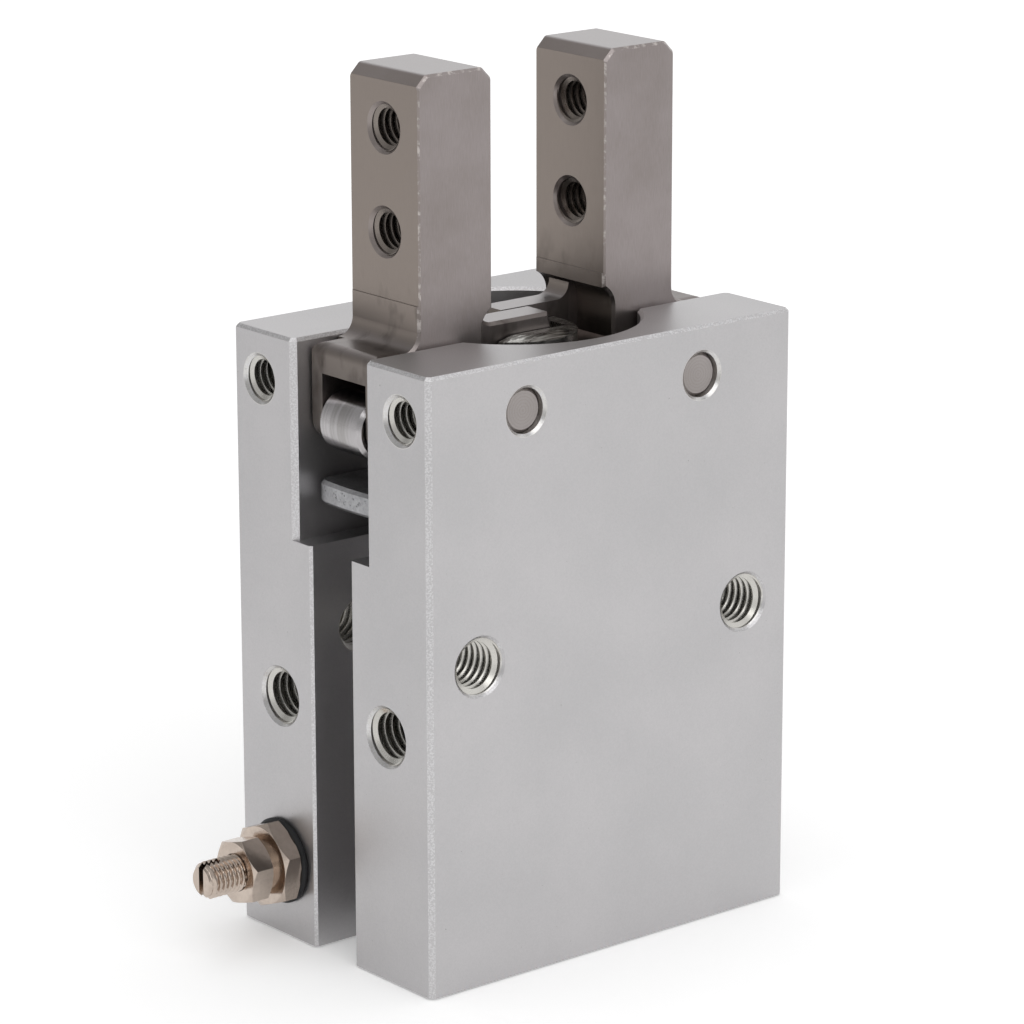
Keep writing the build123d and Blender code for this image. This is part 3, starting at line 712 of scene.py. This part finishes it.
class ThreadWinder:
    """Winds thread turns in holes with one node tree.

    The turns rise out of the wall over LEAD_TURNS from LEAD_SCALE of their size, as they do
    where a countersink cuts them, and their roots are SINK millimetres deep in the wall.
    """

    STEPS_PER_TURN = 40
    SINK = 0.03
    LEAD_TURNS = 0.6
    LEAD_SCALE = 0.1

    def __init__(self) -> None:
        """Build the tree once."""
        self.tree = self.build_tree()

    def build_tree(self) -> bpy.types.NodeTree:
        """Make the tree that winds one turned ridge and puts a copy at each mouth.

        Returns:
            The geometry node tree, with named inputs for its sizes.
        """
        tree = bpy.data.node_groups.new("thread_turns", "GeometryNodeTree")
        tree.interface.new_socket("Geometry", in_out="INPUT", socket_type="NodeSocketGeometry")
        for name in ("Radius", "Turns", "Length", "Start", "Root", "Crest", "Height"):
            tree.interface.new_socket(name, in_out="INPUT", socket_type="NodeSocketFloat")
        tree.interface.new_socket("Material", in_out="INPUT", socket_type="NodeSocketMaterial")
        tree.interface.new_socket("Geometry", in_out="OUTPUT", socket_type="NodeSocketGeometry")
        given = add(tree, "NodeGroupInput").node.outputs
        helix = add(tree, "GeometryNodeCurveSpiral", {
            "Resolution": self.STEPS_PER_TURN, "Rotations": given["Turns"], "Start Radius": given["Radius"],
            "End Radius": given["Radius"], "Height": given["Length"],
        })
        upright = add(tree, "GeometryNodeSetCurveNormal", {"Curve": helix}, mode="Z_UP")
        section = add(tree, "GeometryNodeCurvePrimitiveQuadrilateral", {
            "Bottom Width": given["Root"], "Top Width": given["Crest"], "Height": given["Height"],
            "Offset": 0.0,
        }, mode="TRAPEZOID")
        half = add(tree, "Math", {0: given["Height"], 1: 0.5}, operation="MULTIPLY")
        rooted = add(tree, "CombineXYZ", {"X": half})
        turned = add(tree, "GeometryNodeTransform", {
            "Geometry": section, "Rotation": (0.0, 0.0, math.radians(-90)), "Translation": rooted,
        })
        along = add(tree, "GeometryNodeSplineParameter", out="Factor")
        wound = add(tree, "Math", {0: along, 1: given["Turns"]}, operation="MULTIPLY")
        left = add(tree, "Math", {0: given["Turns"], 1: wound}, operation="SUBTRACT")
        nearer = add(tree, "Math", {0: wound, 1: left}, operation="MINIMUM")
        rise = add(tree, "MapRange", {"Value": nearer, "From Max": self.LEAD_TURNS,
                                      "To Min": self.LEAD_SCALE})
        ridge = add(tree, "GeometryNodeCurveToMesh", {
            "Curve": upright, "Profile Curve": turned, "Scale": rise, "Fill Caps": True,
        })
        lift = add(tree, "CombineXYZ", {"Z": given["Start"]})
        placed = add(tree, "GeometryNodeTransform", {"Geometry": ridge, "Translation": lift})
        points = add(tree, "GeometryNodeMeshToPoints", {"Mesh": given["Geometry"]})
        aim = add(tree, "GeometryNodeInputNamedAttribute", {"Name": "aim"}, data_type="FLOAT_VECTOR")
        turn = add(tree, "FunctionNodeAlignRotationToVector", {"Vector": aim}, axis="Z")
        copies = add(tree, "GeometryNodeInstanceOnPoints", {
            "Points": points, "Instance": placed, "Rotation": turn,
        })
        real = add(tree, "GeometryNodeRealizeInstances", {"Geometry": copies})
        dressed = add(tree, "GeometryNodeSetMaterial", {"Geometry": real, "Material": given["Material"]})
        add(tree, "NodeGroupOutput", {0: dressed})
        return tree

    def wind(self, name: str, thread: Thread, mouths: list[Mouth], start: float, length: float,
             finish: Finish) -> bpy.types.Object:
        """Wind the turns of one thread size in every hole.

        Args:
            name: The piece's name.
            thread: The thread's size.
            mouths: Each hole's mouth, in millimetres, and the way into it.
            start: How far in the first turn begins, in millimetres.
            length: How long the thread is, in millimetres.
            finish: The finish of the turns.

        Returns:
            A plain mesh object at the origin.
        """
        base = bpy.data.meshes.new(name + "_mouths")
        base.from_pydata([tuple(c * MM for c in mouth) for mouth, _ in mouths], [], [])
        aims = base.attributes.new("aim", "FLOAT_VECTOR", "POINT")
        for index, (_, direction) in enumerate(mouths):
            aims.data[index].vector = direction
        seed = to_scene(name + "_seed", base)
        modifier = seed.modifiers.new("wind", "NODES")
        modifier.node_group = self.tree
        sizes = {
            "Radius": (thread.diameter / 2 + self.SINK) * MM, "Turns": length / thread.pitch,
            "Length": length * MM, "Start": start * MM, "Root": thread.ROOT * thread.pitch * MM,
            "Crest": thread.CREST * thread.pitch * MM, "Height": (thread.ridge_height + self.SINK) * MM,
            "Material": finish.make(),
        }
        for socket in self.tree.interface.items_tree:
            if socket.in_out == "INPUT" and socket.name in sizes:
                modifier[socket.identifier] = sizes[socket.name]
        piece = plain_copy(seed, name)
        bpy.data.objects.remove(seed)
        return piece


def to_scene(name: str, data: bpy.types.ID) -> bpy.types.Object:
    """Make an object of a mesh, a lamp or a camera, and link it to the scene.

    Args:
        name: The object's name.
        data: The mesh, the lamp or the camera.

    Returns:
        The new object.
    """
    made = bpy.data.objects.new(name, data)
    bpy.context.scene.collection.objects.link(made)
    return made


def plain_copy(source: bpy.types.Object, name: str) -> bpy.types.Object:
    """Turn an object with live modifiers into a plain mesh object.

    Args:
        source: The object, which stays as it is.
        name: The new object's name.

    Returns:
        The new object, linked to the scene.
    """
    graph = bpy.context.evaluated_depsgraph_get()
    mesh = bpy.data.meshes.new_from_object(source.evaluated_get(graph), depsgraph=graph)
    mesh.name = name
    return to_scene(name, mesh)


def shade_by_angle(piece: bpy.types.Object, angle: float = 30.0) -> None:
    """Smooth a piece's faces except across sharp edges.

    Args:
        piece: The piece.
        angle: How many degrees an edge may bend and still be smoothed.
    """
    mesh = piece.data
    mesh.polygons.foreach_set("use_smooth", [True] * len(mesh.polygons))
    mesh.set_sharp_from_angle(angle=math.radians(angle))


def coat(piece: bpy.types.Object, finish: Finish) -> None:
    """Give a piece one finish in place of whatever it carried."""
    piece.data.materials.clear()
    piece.data.materials.append(finish.make())


@dataclass
class SubAssembly:
    """A group of pieces that is dressed together."""

    frame: dict
    palette: Palette
    winder: ThreadWinder

    def finishes(self) -> dict[str, Finish]:
        """Which finish each of its CAD nodes gets."""
        return {}

    def dress(self) -> None:
        """Coat its CAD nodes."""
        for name, finish in self.finishes().items():
            coat(self.frame["nodes"][name], finish)

    def build(self) -> list[bpy.types.Object]:
        """Make the pieces that the CAD model leaves to this script."""
        return []


@dataclass
class Housing(SubAssembly):
    """The block, its cap, its pins and its threads."""

    width: float = 41.4
    depth: float = 27.4
    # Half the spacing and the height of the front and back holes.
    face_hole: tuple[float, float] = (15.2, 29.0)
    # Half the spacing and the height of the lower side holes.
    side_hole: tuple[float, float] = (7.6, 22.3)
    # Half the spacing and the height of the upper side holes.
    upper_hole: tuple[float, float] = (9.9, 50.8)
    # The ports' distance from the middle.
    port_offset: float = 7.6
    port_heights: tuple[float, float] = (5.8, 15.0)
    # Half the width of the sensor slots, where the face holes end.
    slot_half: float = 2.8
    side_hole_depth: float = 7.0
    # How deep the upper side holes and the ports are.
    upper_hole_depth: float = 6.5
    # How far inside each end of a hole its thread stays, under the countersink.
    sink: float = 0.22

    def finishes(self) -> dict[str, Finish]:
        """Choose the finishes of the housing's own nodes.

        Returns:
            Each node's finish.
        """
        palette = self.palette
        return {
            "body_block": palette.block, "end_cap": palette.cap, "retaining_ring": palette.spring,
            "cap_seal": palette.rubber, "end_bumper": palette.urethane,
            "pivot_pin_left": palette.pin, "pivot_pin_right": palette.pin,
        }

    def face_mouths(self) -> list[Mouth]:
        """Find the front and back holes.

        Returns:
            Each hole's mouth and the way into it.
        """
        along, height = self.face_hole
        return [((side.value * along, front * self.depth / 2, height), (0.0, -front, 0.0))
                for side in Side for front in (-1.0, 1.0)]

    def side_mouths(self, hole: tuple[float, float]) -> list[Mouth]:
        """Find four holes in the left and right faces.

        Args:
            hole: Half their spacing and their height, in millimetres.

        Returns:
            Each hole's mouth and the way into it.
        """
        across, height = hole
        return [((side.value * self.width / 2, front * across, height), (-float(side.value), 0.0, 0.0))
                for side in Side for front in (-1.0, 1.0)]

    def port_mouths(self) -> list[Mouth]:
        """Find the two air ports in the right face and the way into each."""
        return [((self.width / 2, self.port_offset, height), (-1.0, 0.0, 0.0))
                for height in self.port_heights]

    def build(self) -> list[bpy.types.Object]:
        """Wind every thread in the block.

        Returns:
            The thread pieces.
        """
        jobs = (
            ("face_hole_threads", M5, self.face_mouths(), self.depth / 2 - self.slot_half),
            ("side_hole_threads", M5, self.side_mouths(self.side_hole), self.side_hole_depth),
            ("upper_hole_threads", M4, self.side_mouths(self.upper_hole), self.upper_hole_depth),
            ("air_port_threads", M5, self.port_mouths(), self.upper_hole_depth),
        )
        pieces = []
        for name, thread, mouths, depth in jobs:
            piece = self.winder.wind(name, thread, mouths, self.sink, depth - 2 * self.sink,
                                     self.palette.thread)
            shade_by_angle(piece)
            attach(piece, "housing")
            pieces.append(piece)
        return pieces


@dataclass
class Jaws(SubAssembly):
    """Both jaws with their rollers and threads."""

    # The distance of a jaw's outer face from the middle.
    outer_face: float = 14.4
    thickness: float = 8.0
    hole_heights: tuple[float, float] = (73.65, 64.6)
    # How far inside each end of a hole its thread stays.
    sink: float = 0.22

    def finishes(self) -> dict[str, Finish]:
        """Choose the finishes of each jaw, its roller and the roller's axle.

        Returns:
            Each node's finish.
        """
        found = {}
        for side in Side:
            found[f"finger_{side.word}"] = self.palette.jaw
            found[f"side_roller_{side.word}"] = self.palette.roller
            found[f"roller_pin_{side.word}"] = self.palette.pin
        return found

    def build(self) -> list[bpy.types.Object]:
        """Wind the threads of both jaws, each on its own body.

        Returns:
            The thread pieces.
        """
        pieces = []
        for side in Side:
            mouths = [((side.value * self.outer_face, 0.0, height), (-float(side.value), 0.0, 0.0))
                      for height in self.hole_heights]
            piece = self.winder.wind(f"jaw_threads_{side.word}", M4, mouths, self.sink,
                                     self.thickness - 2 * self.sink, self.palette.jaw_thread)
            shade_by_angle(piece)
            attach(piece, f"jaw_{side.word}")
            pieces.append(piece)
        return pieces


@dataclass
class Drive(SubAssembly):
    """The pistons and what they push."""

    def finishes(self) -> dict[str, Finish]:
        """Choose the finishes of both drives' nodes.

        Returns:
            Each node's finish.
        """
        palette = self.palette
        return {
            "opening_piston": palette.piston, "closing_piston": palette.piston,
            "opening_piston_seal": palette.rubber, "closing_piston_seal": palette.rubber,
            "rod_seal": palette.rubber, "magnet_ring": palette.magnet, "piston_bumper": palette.urethane,
            "piston_rod": palette.pin, "centre_fork": palette.fork, "side_pusher_plate": palette.plate,
        }


@dataclass
class NeedleValve(SubAssembly):
    """The speed control on the left face, whose screw gets its thread here."""

    # The body's left face.
    face_x: float = -20.7
    axis_y: float = 7.6
    axis_z: float = 6.95
    # The needle's inner end, as a distance out from the face.
    inner_end: float = -4.2
    cone_length: float = 1.8
    # The radius of the cone's small end.
    cone_radius: float = 0.5
    # Where the thread begins, inside the locknut.
    thread_start: float = 4.5
    outer_end: float = 9.0
    # The chamfer at its outer end.
    tip_break: float = 0.45
    slot_width: float = 0.65
    slot_depth: float = 1.9
    # How many degrees each hexagon is turned on from the CAD model, to lie as in the photograph.
    bush_turn: float = 16.5
    locknut_turn: float = 30.0

    STEPS_AROUND = 60
    STEPS_PER_PITCH = 12
    # Where a turn's flank leaves its crest and meets its root, in half pitches from the crest.
    FLANK_FROM = 0.125
    FLANK_TO = 0.75

    def finishes(self) -> dict[str, Finish]:
        """The gasket alone, since the plated pieces are made here."""
        return {"needle_gasket": self.palette.rubber}

    def radius_at(self, along: float, turn: float) -> float:
        """The needle's radius.

        Args:
            along: The distance out from the body's face, in millimetres.
            turn: The angle about the axis, in turns.

        Returns:
            The radius in millimetres.
        """
        full = NEEDLE_THREAD.diameter / 2
        if along <= self.inner_end:
            return self.cone_radius
        if along <= self.thread_start:
            return full
        phase = (along / NEEDLE_THREAD.pitch + turn) % 1.0
        from_crest = abs(phase - 0.5) * 2.0
        rise = min(max((self.FLANK_TO - from_crest) / (self.FLANK_TO - self.FLANK_FROM), 0.0), 1.0)
        wound = full - NEEDLE_THREAD.ridge_height * (1.0 - rise)
        return min(wound, full - self.tip_break + self.outer_end - along)

    def spot(self, along: float, turn: float) -> Point:
        """Find a point of the needle's surface.

        Args:
            along: The distance out from the body's face, in millimetres.
            turn: The angle about the axis, in turns.

        Returns:
            The point, in metres.
        """
        radius = self.radius_at(along, turn)
        angle = 2.0 * math.pi * turn
        return ((self.face_x - along) * MM, (self.axis_y + radius * math.cos(angle)) * MM,
                (self.axis_z + radius * math.sin(angle)) * MM)

    def build_screw(self) -> bpy.types.Object:
        """Turn the needle with its thread and cut its driver slot.

        Returns:
            The threaded needle.
        """
        length = self.outer_end - self.thread_start
        steps = round(length / NEEDLE_THREAD.pitch * self.STEPS_PER_PITCH)
        stations = [self.inner_end, self.inner_end + self.cone_length, self.thread_start]
        stations += [self.thread_start + length * (step + 1) / steps for step in range(steps)]
        shape = bmesh.new()
        rings = [[shape.verts.new(self.spot(along, k / self.STEPS_AROUND)) for k in range(self.STEPS_AROUND)]
                 for along in stations]
        for low, high in zip(rings, rings[1:]):
            for k in range(self.STEPS_AROUND):
                after = (k + 1) % self.STEPS_AROUND
                shape.faces.new((low[k], low[after], high[after], high[k]))
        shape.faces.new(rings[0])
        shape.faces.new(rings[-1])
        bmesh.ops.recalc_face_normals(shape, faces=shape.faces)
        mesh = bpy.data.meshes.new("needle_blank")
        shape.to_mesh(mesh)
        shape.free()
        blank = to_scene("needle_blank", mesh)
        cutter = self.build_slot_cutter()
        modifier = blank.modifiers.new("slot", "BOOLEAN")
        modifier.operation = "DIFFERENCE"
        modifier.solver = "EXACT"
        modifier.object = cutter
        screw = plain_copy(blank, "threaded_needle")
        bpy.data.objects.remove(blank)
        bpy.data.objects.remove(cutter)
        return screw

    def build_slot_cutter(self) -> bpy.types.Object:
        """Make the box that cuts the driver slot, upright across the needle's end.

        Returns:
            The box.
        """
        shape = bmesh.new()
        bmesh.ops.create_cube(shape, size=1.0)
        size = Vector((2.0 * self.slot_depth, self.slot_width, 2.0 * NEEDLE_THREAD.diameter)) * MM
        middle = Vector((self.face_x - self.outer_end, self.axis_y, self.axis_z)) * MM
        bmesh.ops.transform(shape, matrix=Matrix.LocRotScale(middle, None, size), verts=shape.verts)
        mesh = bpy.data.meshes.new("slot_cutter")
        shape.to_mesh(mesh)
        shape.free()
        return to_scene("slot_cutter", mesh)

    def build(self) -> list[bpy.types.Object]:
        """Make the threaded needle, bush and locknut that stand for the CAD ones.

        Returns:
            The three pieces.
        """
        jobs = (
            ("needle_screw", self.build_screw(), "needle"),
            ("needle_bush", self.turned_copy("needle_bush", "turned_bush", self.bush_turn), "housing"),
            ("needle_locknut", self.turned_copy("needle_locknut", "turned_locknut", self.locknut_turn),
             "housing"),
        )
        pieces = []
        for node, piece, body in jobs:
            coat(piece, self.palette.nickel)
            shade_by_angle(piece)
            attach(piece, body)
            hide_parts(node)
            pieces.append(piece)
        return pieces

    def turned_copy(self, node: str, name: str, degrees: float) -> bpy.types.Object:
        """Copy a CAD node with its hexagon turned about the needle's axis.

        Args:
            node: The node's name.
            name: The copy's name.
            degrees: How far it turns, from +Y towards +Z.

        Returns:
            The copy, a plain mesh at the origin.
        """
        source = self.frame["nodes"][node]
        mesh = source.data.copy()
        mesh.name = name
        middle = Vector((0.0, self.axis_y, self.axis_z)) * MM
        turn = (Matrix.Translation(middle) @ Matrix.Rotation(math.radians(degrees), 4, "X")
                @ Matrix.Translation(-middle))
        mesh.transform(turn @ source.matrix_world)
        if "custom_normal" in mesh.attributes:
            mesh.attributes.remove(mesh.attributes["custom_normal"])
        return to_scene(name, mesh)


@dataclass(frozen=True)
class Lamp:
    """A soft square lamp, whose power is in watts."""

    name: str
    place: Point
    size: float
    power: float


@dataclass
class Studio:
    """The floor, the lights, the background and the camera."""

    # Where the photograph was taken from.
    eye: Point = (-244.706, -295.675, 143.543)
    # A point that the middle of the frame looks at.
    aim: Point = (-5.259, -6.002, 39.357)
    # The camera's small tilt, in degrees.
    roll: float = 0.11
    lens: float = 156.8
    sensor: float = 36.0
    # How far from the camera the picture begins.
    near_clip: float = 10.0
    # Half the floor's width.
    floor_half: float = 900.0
    # How far the floor lies under the gripper, so that they share no plane.
    floor_drop: float = 0.2
    card: str = "#F2F2F2"
    # How much the floor shows over the light on it, under the gripper.
    near_glow: float = 0.24
    # The same far away, where the lamps' light has fallen off.
    far_glow: float = 0.5
    # How far from the middle the first glow begins to change to the second.
    glow_from: float = 40.0
    # How far from it the second is reached.
    glow_to: float = 500.0
    # The floor's glow as metal and glass see it.
    mirror_glow: float = 0.19
    # The strength of the room's light on the object.
    room: float = 0.55
    # The way towards the unlit part of the room.
    dim_side: Point = (-0.5, 0.0, 0.87)
    # How much of a way lies along that one where the room begins to darken.
    dim_from: float = 0.1
    # The same where it is darkest.
    dim_to: float = 0.65
    # How bright metal sees that part, where white is 1.
    dim_strength: float = 0.4
    # The gripper's middle, which the lamps point at.
    target: Point = (0.0, 0.0, 35.0)
    lamps: tuple[Lamp, ...] = (
        Lamp("key", (-100.0, -420.0, 420.0), 500.0, 1.0),
        Lamp("fill", (-480.0, 60.0, 180.0), 400.0, 0.1),
        Lamp("top", (40.0, 40.0, 520.0), 500.0, 0.8),
    )

    def build_camera(self) -> None:
        """Put the camera where the photograph was taken from."""
        data = bpy.data.cameras.new("photo_camera")
        data.lens = self.lens
        data.sensor_width = self.sensor
        data.clip_start = self.near_clip * MM
        camera = to_scene("photo_camera", data)
        eye = Vector(self.eye) * MM
        look = (Vector(self.aim) * MM - eye).to_track_quat("-Z", "Y")
        camera.matrix_world = (Matrix.Translation(eye) @ look.to_matrix().to_4x4()
                               @ Matrix.Rotation(math.radians(-self.roll), 4, "Z"))
        bpy.context.scene.camera = camera

    def build_floor(self) -> None:
        """Lay a plain white card under the gripper, which shows white and keeps the shadow."""
        mesh = bpy.data.meshes.new("studio_floor")
        half = self.floor_half * MM
        corners = [(-half, -half, 0), (half, -half, 0), (half, half, 0), (-half, half, 0)]
        mesh.from_pydata(corners, [], [(0, 1, 2, 3)])
        floor = to_scene("studio_floor", mesh)
        floor.location.z = -self.floor_drop * MM
        material = bpy.data.materials.new("white_card")
        material.use_nodes = True
        tree = material.node_tree
        tree.nodes.clear()
        card = add(tree, "BsdfDiffuse", {"Color": linear(self.card)})
        place = add(tree, "TexCoord", out="Object")
        away = add(tree, "VectorMath", {0: place}, operation="LENGTH", out="Value")
        lift = add(tree, "MapRange", {
            "Value": away, "From Min": self.glow_from * MM, "From Max": self.glow_to * MM,
            "To Min": self.near_glow, "To Max": self.far_glow,
        })
        path = add(tree, "LightPath").node.outputs
        shown = add(tree, "Mix", {0: path["Is Camera Ray"], 2: self.mirror_glow, 3: lift})
        glow = add(tree, "Emission", {"Color": (1.0, 1.0, 1.0, 1.0), "Strength": shown})
        both = add(tree, "AddShader", {0: card, 1: glow})
        mirrored = add(tree, "Math", {0: path["Is Glossy Ray"], 1: path["Is Transmission Ray"]},
                       operation="MAXIMUM")
        seen = add(tree, "Math", {0: path["Is Camera Ray"], 1: mirrored}, operation="MAXIMUM")
        chosen = add(tree, "MixShader", {0: seen, 1: card, 2: both})
        add(tree, "OutputMaterial", {"Surface": chosen})
        mesh.materials.append(material)

    def build_world(self) -> None:
        """Fill the room with soft light, and show it white but for its unlit upper left.

        The camera sees white everywhere. Metal sees the same white, which falls off softly
        towards the unlit part of the studio, and that is what gives polished metal its shape.
        """
        world = bpy.data.worlds.new("white_room")
        world.use_nodes = True
        tree = world.node_tree
        tree.nodes.clear()
        path = add(tree, "LightPath").node.outputs
        way = add(tree, "TexCoord", out="Generated")
        towards = add(tree, "VectorMath", {0: way, 1: self.dim_side}, operation="DOT_PRODUCT", out="Value")
        falling = add(tree, "MapRange", {
            "Value": towards, "From Min": self.dim_from, "From Max": self.dim_to, "To Min": 1.0,
            "To Max": self.dim_strength,
        })
        metal = add(tree, "Mix", {0: path["Is Glossy Ray"], 2: self.room, 3: falling})
        seen = add(tree, "Math", {0: path["Is Camera Ray"], 1: path["Is Transmission Ray"]},
                   operation="MAXIMUM")
        strength = add(tree, "Mix", {0: seen, 2: metal, 3: 1.0})
        sky = add(tree, "Background", {"Color": (1.0, 1.0, 1.0, 1.0), "Strength": strength})
        add(tree, "OutputWorld", {"Surface": sky})
        bpy.context.scene.world = world

    def build_lamps(self) -> None:
        """Hang the soft lamps, each aimed at the gripper's middle."""
        target = Vector(self.target) * MM
        for lamp in self.lamps:
            data = bpy.data.lights.new(lamp.name, "AREA")
            data.shape = "SQUARE"
            data.size = lamp.size * MM
            data.energy = lamp.power
            hung = to_scene(lamp.name, data)
            spot = Vector(lamp.place) * MM
            turn = (target - spot).to_track_quat("-Z", "Y").to_matrix().to_4x4()
            hung.matrix_world = Matrix.Translation(spot) @ turn

    def build(self) -> None:
        """Set up the whole studio."""
        self.build_camera()
        self.build_floor()
        self.build_world()
        self.build_lamps()
        bpy.context.scene.view_settings.view_transform = "Standard"


def main() -> None:
    """Dress the gripper, piece by piece, and set up the studio."""
    logging.basicConfig(level=logging.INFO, format="%(name)s: %(message)s")
    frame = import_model()
    Studio().build()
    shared = (frame, Palette(), ThreadWinder())
    for part in (Housing(*shared), Jaws(*shared), Drive(*shared), NeedleValve(*shared)):
        part.dress()
        LOG.info("dressed %s", type(part).__name__)
        for piece in part.build():
            LOG.info("made %s with %d faces", piece.name, len(piece.data.polygons))


if __name__ == "__main__":
    main()
